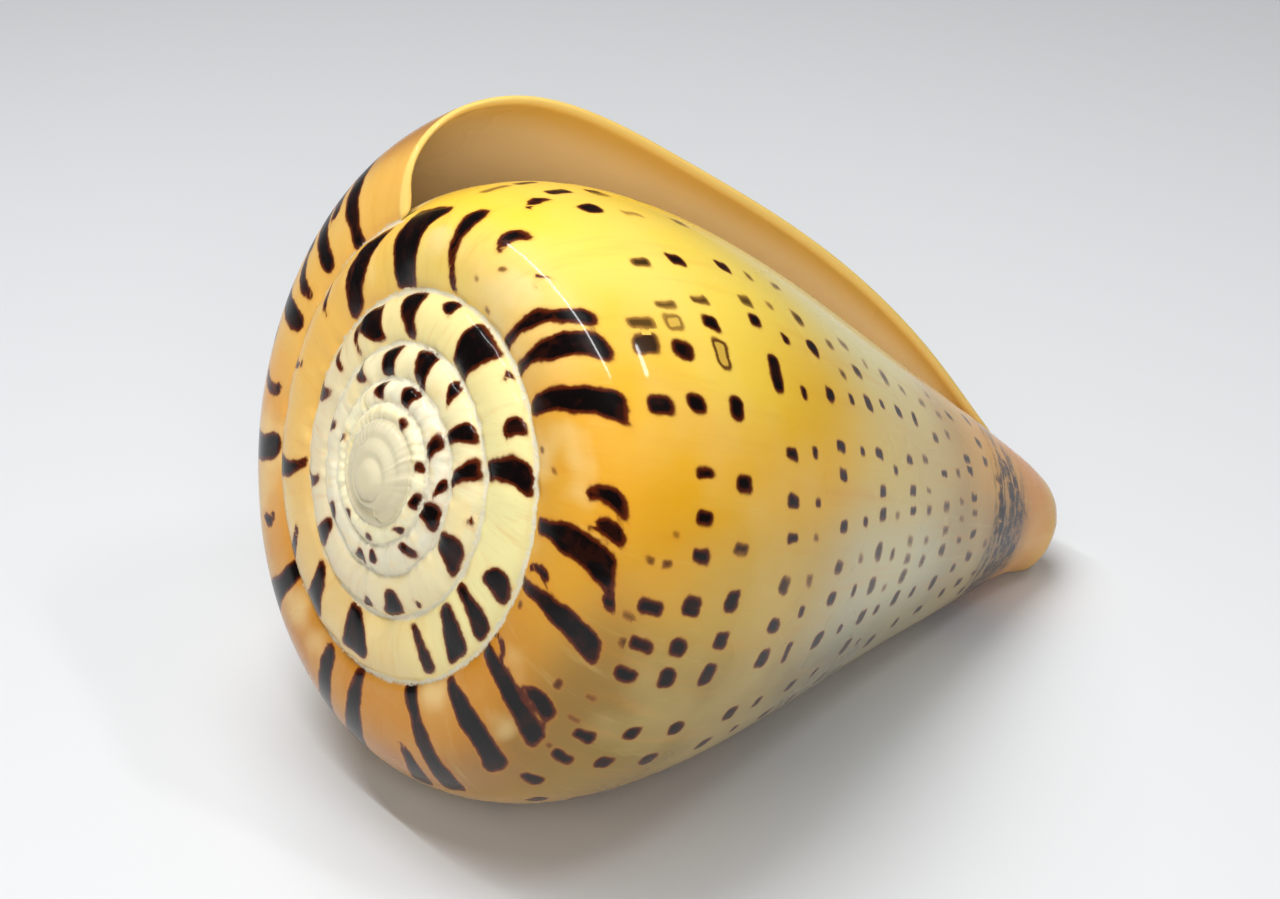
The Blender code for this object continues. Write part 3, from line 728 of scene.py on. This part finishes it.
class Surface:
    """Points, faces and what the material needs at each corner of each face."""

    GRID_FIELDS = ("place", "ground", "mark")
    FACE_FIELDS = ("spot", "spot_size")
    BATCH = 4096

    def __init__(self, spots):
        self.spots = spots
        self.points = []
        self.count = 0
        self.faces = []
        self.fields = {name: [] for name in self.GRID_FIELDS + self.FACE_FIELDS}

    def add(self, points):
        points = np.asarray(points, float)
        flat = points.reshape(-1, 3)
        self.points.append(flat)
        numbers = np.arange(self.count, self.count + len(flat)).reshape(points.shape[:-1])
        self.count += len(flat)
        return numbers

    def nearest_spots(self, middles):
        nearest = []
        turn, place, wide, tall, half_width, half_height = self.spots.T[:6]
        for start in range(0, len(middles), self.BATCH):
            part = middles[start: start + self.BATCH]
            across = (part[:, :1] - turn) * wide
            down = (part[:, 1:2] - place) * tall
            nearest.append(np.argmin(np.hypot(across, down) - half_width - half_height, axis=1))
        return self.spots[np.concatenate(nearest)]

    def spot_fields(self, place):
        """Millimetres from the nearest spot's middle, and its size, at the corners of each face."""
        turn, along, wide, tall, *sizes = self.nearest_spots(place.mean(axis=1)).T[..., None]
        across = (place[..., 0] - turn) * wide
        down = (place[..., 1] - along) * tall
        sizes = [np.broadcast_to(size, across.shape) for size in sizes]
        half_width, half_height, strength, ring = sizes
        return {
            "spot": np.stack([across, down, ring], -1),
            "spot_size": np.stack([half_width, half_height, strength], -1),
        }

    def sheet(self, numbers, fields, flip=False):
        """Faces between the neighbouring columns and rows of a grid of point numbers."""
        corners = [(0, 0), (0, 1), (1, 1), (1, 0)]
        if flip:
            corners.reverse()
        columns, rows = numbers.shape
        parts = [(slice(i, columns - 1 + i), slice(j, rows - 1 + j)) for i, j in corners]
        quads = np.stack([numbers[part].ravel() for part in parts], 1)
        values = {
            name: np.stack([fields[name][part].reshape(-1, 3) for part in parts], 1)
            for name in self.GRID_FIELDS
        }
        values.update(self.spot_fields(values["place"]))
        for index, quad in enumerate(quads.tolist()):
            keep = [place for place in range(4) if quad[place] != quad[place - 1]]
            if len(keep) > 2:
                self.faces.append([quad[place] for place in keep])
                for name, chunks in self.fields.items():
                    chunks.append(values[name][index, keep])

    def mesh(self, name):
        mesh = bpy.data.meshes.new(name)
        mesh.from_pydata(np.concatenate(self.points).tolist(), [], self.faces)
        for field, chunks in self.fields.items():
            layer = mesh.attributes.new(field, "FLOAT_VECTOR", "CORNER")
            layer.data.foreach_set("vector", np.concatenate(chunks).astype(np.float32).ravel())
        mesh.shade_smooth()
        return mesh


def number_points(surface, outer, deep):
    """Point numbers of the outer surface, with the sutures of neighbouring turns shared."""
    columns, rows = outer.shape[:2]
    lip = columns - 1
    start = lip - COLUMNS
    numbers = np.full((columns, rows), -1)
    numbers[:start, :NEXT_SUTURE_ROW] = surface.add(outer[:start, :NEXT_SUTURE_ROW])
    numbers[start, :NEXT_SUTURE_ROW] = surface.add(outer[start, :NEXT_SUTURE_ROW])
    numbers[start, NEXT_SUTURE_ROW + 1:] = surface.add(outer[start, NEXT_SUTURE_ROW + 1:])
    numbers[start + 1:] = surface.add(outer[start + 1:])
    numbers[start - deep: start, CORNER_ROW:] = surface.add(outer[start - deep: start, CORNER_ROW:])
    numbers[: start + 1, NEXT_SUTURE_ROW] = numbers[COLUMNS:, 0]
    return numbers


def cut(fields, columns, rows=slice(None)):
    return {name: values[columns, rows] for name, values in fields.items()}


def build_surface():
    columns = round(-FIRST_TURN * COLUMNS) + 1
    lip = columns - 1
    deep = round(HOLLOW_TURNS * COLUMNS)
    turns = (np.arange(columns) - lip) / COLUMNS
    along = profile_rows()[2]
    plain = outer_surface(turns)
    outer = raised(plain, turns, along)
    outside = paint_fields(plain, turns, along, 0.0)
    lined = paint_fields(plain, turns, along, 1.0)
    surface = Surface(spot_table(plain, turns, along))
    numbers = number_points(surface, outer, deep)

    spire = slice(0, lip - COLUMNS + 1)
    ramp = slice(0, NEXT_SUTURE_ROW + 1)
    surface.sheet(numbers[spire, ramp], cut(outside, spire, ramp))
    body = slice(lip - COLUMNS, columns)
    surface.sheet(numbers[body], cut(outside, body))
    add_hollow(surface, numbers, plain, turns, lined, lip, deep)
    add_ends(surface, numbers, outer, outside, lip)
    return surface


def add_hollow(surface, numbers, plain, turns, lined, lip, deep):
    """The covered whorl, the inside of the outer wall, the partition that joins them, and the lip."""
    covered = slice(lip - COLUMNS - deep, lip - COLUMNS + 1)
    floor_rows = slice(CORNER_ROW, None)
    surface.sheet(numbers[covered, floor_rows], cut(lined, covered, floor_rows))
    hollow = hollow_surface(plain[lip - deep:], plain[covered], turns[lip - deep:])
    inside = np.full(hollow.shape[:2], -1)
    inside[:, 0] = numbers[covered, CORNER_ROW]
    inside[:, -1] = numbers[covered, -1]
    inside[:, 1:-1] = surface.add(hollow[:, 1:-1])
    walls = cut(lined, slice(lip - deep, None))
    surface.sheet(inside, walls, flip=True)
    facing = numbers[covered][0][np.maximum(np.arange(numbers.shape[1]), CORNER_ROW)]
    surface.sheet(np.stack([inside[0], facing]), cut(walls, slice(0, 2)), flip=True)
    add_lip(surface, plain, hollow, numbers[lip], inside[-1], walls)


def add_lip(surface, outer, hollow, outside, inside, walls):
    """The rounded edge of the outer lip."""
    forward = outer[-1] - outer[-2]
    forward = forward / np.linalg.norm(forward, axis=1)[:, None]
    across = 0.5 * (outer[-1] - hollow[-1])
    middle = 0.5 * (outer[-1] + hollow[-1])
    half = np.linalg.norm(across, axis=1)[:, None]
    rows = [outside]
    for step in range(1, LIP_ROWS):
        angle = math.pi * step / LIP_ROWS
        crest = middle + across * math.cos(angle) + forward * half * LIP_ROUND * math.sin(angle)
        numbers = outside.copy()
        numbers[1:-1] = surface.add(crest[1:-1])
        rows.append(numbers)
    rows.append(inside)
    fields = {name: np.repeat(values[-1:], len(rows), axis=0) for name, values in walls.items()}
    surface.sheet(np.array(rows), fields)


def add_ends(surface, numbers, outer, fields, lip):
    """The smooth first whorl at the apex, and the rounded anterior end."""
    to_apex = np.array([-math.cos(AXIS_TILT), 0.0, math.sin(AXIS_TILT)])
    back = slice(NEXT_SUTURE_ROW - 1, 0, -1)
    first = [numbers, outer, *fields.values()]
    loop, rim, *values = [np.concatenate([grid[: COLUMNS + 1, 0], grid[0, back]]) for grid in first]
    nucleus = [(share, rise * NUCLEUS_HEIGHT) for share, rise in NUCLEUS_RINGS]
    lean = NUCLEUS_LEAN * (rim[rim[:, 2].argmin()] - rim.mean(axis=0))
    values = dict(zip(fields, values))
    close(surface, loop, rim, values, nucleus, to_apex, lean, NUCLEUS_ROUNDING, False)
    last = slice(lip - COLUMNS, lip + 1)
    values = {name: grid[last, -1] for name, grid in fields.items()}
    tip = [(share, TIP_HEIGHT * (1.0 - share ** CAP_POWER)) for share in CAP_SHARES]
    close(surface, numbers[last, -1], outer[last, -1], values, tip, -to_apex, np.array(NO_LEAN), 0, True)


def close(surface, loop, rim, values, rings, outward, lean, rounding, flip):
    """A cap over a closed loop of points, without marks. The last ring is its middle point.

    The rings lean sideways on their way there, and they are rounder and flatter than the loop,
    the more so with a higher power of rounding.
    """
    middle = rim.mean(axis=0)
    above = (rim - middle) @ outward[:, None] * outward
    spokes = rim - middle - above
    reach = np.linalg.norm(spokes, axis=1)[:, None]
    grid = [loop]
    for share, rise in rings[:-1]:
        shape = share ** rounding
        centre = middle + lean * (1.0 - share) + outward * rise + above * share * shape
        grid.append(surface.add(centre + spokes / reach * share * mix(reach.mean(), reach, shape)))
    middle = surface.add(np.array([middle + lean + outward * rings[-1][1]]))
    grid.append(np.repeat(middle, len(loop)))
    grid = np.array(grid)
    grid = np.concatenate([grid, grid[:, :1]], axis=1)
    fields = {}
    for name, ring in values.items():
        ring = np.concatenate([ring, ring[:1]])
        fields[name] = np.repeat(ring[None], len(grid), axis=0)
    fields["place"][1:] = values["place"][0]
    fields["ground"][1:] = values["ground"][0]
    fields["mark"][...] = (NO_FLAME, -NO_FLAME, 0.0)
    surface.sheet(grid, fields, flip)


class Nodes:
    """Short ways to add the nodes of one material."""

    def __init__(self, material):
        material.use_nodes = True
        self.tree = material.node_tree
        self.shader = self.tree.nodes["Principled BSDF"]

    def put(self, socket, value):
        if isinstance(value, bpy.types.NodeSocket):
            self.tree.links.new(value, socket)
        else:
            socket.default_value = value

    def shade(self, name, value):
        self.put(self.shader.inputs[name], value)

    def make(self, kind, inputs, output=0, **settings):
        node = self.tree.nodes.new(kind)
        for name, value in settings.items():
            setattr(node, name, value)
        for key, value in inputs.items():
            self.put(node.inputs[key], value)
        return node.outputs[output]

    def calc(self, operation, *values):
        return self.make("ShaderNodeMath", dict(enumerate(values)), operation=operation)

    def total(self, first, *others):
        for other in others:
            first = self.calc("ADD", first, other)
        return first

    def field(self, name):
        vector = self.make("ShaderNodeAttribute", {}, "Vector", attribute_name=name)
        node = self.tree.nodes.new("ShaderNodeSeparateXYZ")
        self.put(node.inputs[0], vector)
        return tuple(node.outputs)

    def times(self, first, *others):
        for other in others:
            first = self.calc("MULTIPLY", first, other)
        return first

    def less(self, first, second):
        return self.calc("SUBTRACT", first, second)

    def most(self, first, second):
        return self.calc("MAXIMUM", first, second)

    def noise(self, vector, scale, detail=1.0, rough=0.5):
        inputs = {"Vector": vector, "Scale": scale, "Detail": detail, "Roughness": rough}
        return self.make("ShaderNodeTexNoise", inputs, "Fac")

    def grown_noise(self, turn, along, columns, rows, level, detail, rough):
        """Noise that follows the growth."""
        values = {0: self.times(turn, columns), 1: self.times(along, rows), 2: level}
        return self.noise(self.make("ShaderNodeCombineXYZ", values), 1.0, detail, rough)

    def wobble(self, vector, scale, height):
        """Noise about 0 that reaches about half the height to each side."""
        return self.times(self.less(self.noise(vector, scale), NOISE_MIDDLE), height)

    def span(self, value, low, high, to_low=0.0, to_high=1.0):
        inputs = {"Value": value, "From Min": low, "From Max": high, "To Min": to_low, "To Max": to_high}
        return self.make("ShaderNodeMapRange", inputs, "Result", interpolation_type="SMOOTHSTEP")

    def blend(self, share, low, high):
        """A mix of two colours, by the numbers of the node's colour sockets."""
        return self.make("ShaderNodeMix", {0: share, 6: low, 7: high}, 2, data_type="RGBA")


def spot_depth(nodes, place):
    """How deep a point lies in the nearest spot, in millimetres, its strength and its ring."""
    across, down, ring = nodes.field("spot")
    half_width, half_height, strength = nodes.field("spot_size")
    shifted = nodes.make("ShaderNodeVectorMath", {0: place, 1: SPOT_SHIFT})
    across = nodes.total(across, nodes.wobble(place, *SPOT_WOBBLES[0]))
    down = nodes.total(down, nodes.wobble(shifted, *SPOT_WOBBLES[1]))
    corner = nodes.times(nodes.calc("MINIMUM", half_width, half_height), SPOT_CORNER)
    side = nodes.total(nodes.less(nodes.calc("ABSOLUTE", across), half_width), corner)
    end = nodes.total(nodes.less(nodes.calc("ABSOLUTE", down), half_height), corner)
    side_square = nodes.calc("POWER", nodes.most(side, 0.0), 2.0)
    end_square = nodes.calc("POWER", nodes.most(end, 0.0), 2.0)
    inside = nodes.calc("MINIMUM", nodes.most(side, end), 0.0)
    distance = nodes.total(nodes.calc("SQRT", nodes.total(side_square, end_square)), inside)
    depth = nodes.total(nodes.less(corner, distance), nodes.wobble(place, *SPOT_EDGE_WOBBLE))
    return depth, strength, ring


def paint_ground(nodes, turn, along, growth, cloud):
    """The colour between the marks, with its painted shade low on the flank, growth lines, clouds and a
    pale flush on the ramp.
    """
    base = nodes.make("ShaderNodeAttribute", {}, "Color", attribute_name="ground")
    base = nodes.blend(nodes.span(growth, *BROWN_LINES), base, linear(*GROWTH_BROWN))
    base = nodes.blend(nodes.span(growth, *PALE_LINES), base, linear(*GROWTH_PALE))
    base = nodes.blend(nodes.span(cloud, *PALE_CLOUDS), base, linear(*CLOUD_PALE))
    flush = nodes.grown_noise(turn, along, *FLUSH_CELLS)
    flush = nodes.times(flush, nodes.span(along, *FLUSH_PLACES))
    return nodes.blend(nodes.span(flush, *FLUSH_SHARE), base, linear(*FLUSH_PALE))


def paint_marks(nodes, base, place, along, flame):
    """The flames and spots over the ground: a stain around them, a brown rim and a dark core."""
    wobbles = [nodes.wobble(place, *wobble) for wobble in FLAME_WOBBLES]
    flames = nodes.total(flame, nodes.total(*wobbles))
    spots, strength, ring = spot_depth(nodes, place)
    hole = nodes.times(nodes.span(spots, *RING_HOLE), ring, RING_STRENGTH)
    strength = nodes.times(strength, nodes.less(1.0, hole))
    stain = nodes.most(nodes.span(flames, *FLAME_STAIN), nodes.span(spots, *SPOT_STAIN))
    spot_rim = nodes.times(nodes.span(spots, *SPOT_RIM), strength)
    rim = nodes.most(nodes.span(flames, *FLAME_RIM), spot_rim)
    spot_core = nodes.times(nodes.span(spots, *SPOT_CORE), strength)
    core = nodes.most(nodes.span(flames, *FLAME_CORE), spot_core)
    faded = nodes.span(along, *FADED_PLACES)
    brown = nodes.blend(faded, *[linear(*tone) for tone in MARK_BROWN])
    dark = nodes.blend(faded, *[linear(*tone) for tone in MARK_DARK])
    worn = nodes.span(nodes.noise(place, *WORN_NOISE), *WORN_CORE)
    marked = nodes.blend(nodes.times(stain, STAIN_STRENGTH), base, linear(*STAIN_ORANGE))
    marked = nodes.blend(rim, marked, brown)
    return nodes.blend(nodes.times(core, worn), marked, dark)


def paint_blotches(nodes, base, place, turn, along, haze):
    """The dark blotches above the tip."""
    cells = nodes.grown_noise(turn, along, *BLOTCH_CELLS)
    cells = nodes.total(cells, nodes.times(haze, HAZE_STRENGTH))
    mottled = nodes.span(nodes.noise(place, *MOTTLE_NOISE), *MOTTLE_SHARE)
    share = nodes.times(nodes.span(cells, *BLOTCH_EDGE), nodes.span(haze, *BLOTCH_SHARE), mottled)
    return nodes.blend(share, base, linear(*BLOTCH_DARK))


def add_bump(nodes, turn, along, lining, growth, grain, dust):
    """The fine bump of the outside: growth lines, scratches, threads near the tip, and dust."""
    threads = nodes.grown_noise(turn, along, *THREAD_CELLS)
    scratches = nodes.grown_noise(turn, along, *SCRATCH_CELLS)
    coarse = nodes.times(nodes.less(growth, NOISE_MIDDLE), GROWTH_BUMP)
    fine = nodes.times(nodes.less(scratches, NOISE_MIDDLE), SCRATCH_BUMP)
    bands = nodes.times(nodes.less(threads, NOISE_MIDDLE), nodes.span(along, *BAND_PLACES))
    crumbs = nodes.times(grain, dust, DUST_BUMP)
    height = nodes.times(nodes.total(coarse, fine, bands, crumbs), nodes.less(1.0, lining))
    inputs = {"Strength": BUMP_STRENGTH, "Distance": BUMP_DEPTH, "Height": height}
    bump = nodes.make("ShaderNodeBump", inputs, "Normal")
    nodes.shade("Normal", bump)


def make_shell_material():
    material = bpy.data.materials.new("shell_glaze")
    nodes = Nodes(material)
    turn, along, lining = nodes.field("place")
    flame, suture_gap, haze = nodes.field("mark")
    place = nodes.make("ShaderNodeTexCoord", {}, "Object")
    growth = nodes.grown_noise(turn, along, *GROWTH_CELLS)
    cloud = nodes.noise(place, *CLOUD_NOISE)
    grain = nodes.noise(place, *GRAIN_NOISE)

    outside = paint_ground(nodes, turn, along, growth, cloud)
    outside = paint_marks(nodes, outside, place, along, flame)
    outside = paint_blotches(nodes, outside, place, turn, along, haze)
    dusty = nodes.total(suture_gap, nodes.wobble(place, *DUST_WOBBLE))
    dust = nodes.times(nodes.span(dusty, *DUST_EDGE), nodes.span(grain, *DUST_GRAIN))
    outside = nodes.blend(dust, outside, linear(*DUST_GREY))
    edge = nodes.span(turn, *LIP_TURNS_SHOWN)
    inside = nodes.blend(edge, linear(*LINING_CREAM), linear(*LIP_YELLOW))
    colour = nodes.blend(lining, outside, inside)
    nodes.shade("Base Color", colour)

    add_bump(nodes, turn, along, lining, growth, grain, dust)
    roughness = nodes.blend(dust, nodes.span(cloud, *GLAZE_ROUGHNESS), DUST_ROUGHNESS)
    nodes.shade("Roughness", roughness)
    for name, value in GLAZE.items():
        nodes.shade(name, value)
    return material


def make_shell():
    mesh = build_surface().mesh("cone_shell")
    points = np.empty(len(mesh.vertices) * 3)
    mesh.vertices.foreach_get("co", points)
    points = np.clip(points.reshape(-1, 3), CAD_BOX[0], CAD_BOX[1])
    mesh.vertices.foreach_set("co", points.ravel())
    mesh.materials.append(make_shell_material())
    shell = bpy.data.objects.new("cone_shell", mesh)
    bpy.context.scene.collection.objects.link(shell)
    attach(shell, "root")
    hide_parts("shell")


def make_floor():
    bpy.ops.mesh.primitive_plane_add(size=FLOOR_SIDE, location=(0.0, 0.0, 0.0))
    floor = bpy.context.object
    floor.name = "floor"
    material = bpy.data.materials.new("floor")
    nodes = Nodes(material)
    nodes.shade("Base Color", linear(*FLOOR_GREY))
    nodes.shade("Roughness", FLOOR_ROUGHNESS)
    floor.data.materials.append(material)


def view_axes():
    """The camera's right, up and back directions."""
    back = np.array([
        math.sin(CAMERA_AZIMUTH) * math.cos(CAMERA_ELEVATION),
        -math.cos(CAMERA_AZIMUTH) * math.cos(CAMERA_ELEVATION),
        math.sin(CAMERA_ELEVATION),
    ])
    level = np.cross([0.0, 0.0, 1.0], back)
    level = level / np.linalg.norm(level)
    upright = np.cross(back, level)
    right = level * math.cos(CAMERA_ROLL) + upright * math.sin(CAMERA_ROLL)
    up = upright * math.cos(CAMERA_ROLL) - level * math.sin(CAMERA_ROLL)
    return right, up, back


def placed(name, data, axes, place):
    """An object with its X, Y and Z along the three axes."""
    item = bpy.data.objects.new(name, data)
    item.matrix_world = Matrix.Translation(place) @ Matrix(axes).transposed().to_4x4()
    bpy.context.scene.collection.objects.link(item)
    return item


def make_camera():
    camera = bpy.data.cameras.new("camera")
    camera.sensor_width = SENSOR_WIDTH
    camera.lens = SENSOR_WIDTH * FOCAL_PIXELS / IMAGE_WIDTH
    camera.clip_start = NEAR_CLIP
    axes = [Vector(axis.tolist()) for axis in view_axes()]
    bpy.context.scene.camera = placed("camera", camera, axes, CAMERA_PLACE)


def make_light(name, place, aim, sides, power, mirrored):
    light = bpy.data.lights.new(name, "AREA")
    light.shape = "RECTANGLE"
    light.size, light.size_y = sides
    light.energy = power
    back = (Vector(place) - Vector(aim)).normalized()
    right = Vector(SECOND_SIDE).cross(back).normalized()
    placed(name, light, [right, back.cross(right), back], place).visible_glossy = mirrored


def make_studio():
    bpy.context.scene.view_settings.view_transform = "Standard"
    world = bpy.data.worlds.new("studio")
    world.use_nodes = True
    sky = world.node_tree.nodes["Background"]
    sky.inputs["Color"].default_value = SKY_COLOUR
    sky.inputs["Strength"].default_value = SKY_STRENGTH
    bpy.context.scene.world = world
    for name, settings in LIGHTS.items():
        make_light(name, *settings)


make_shell()
make_floor()
make_camera()
make_studio()
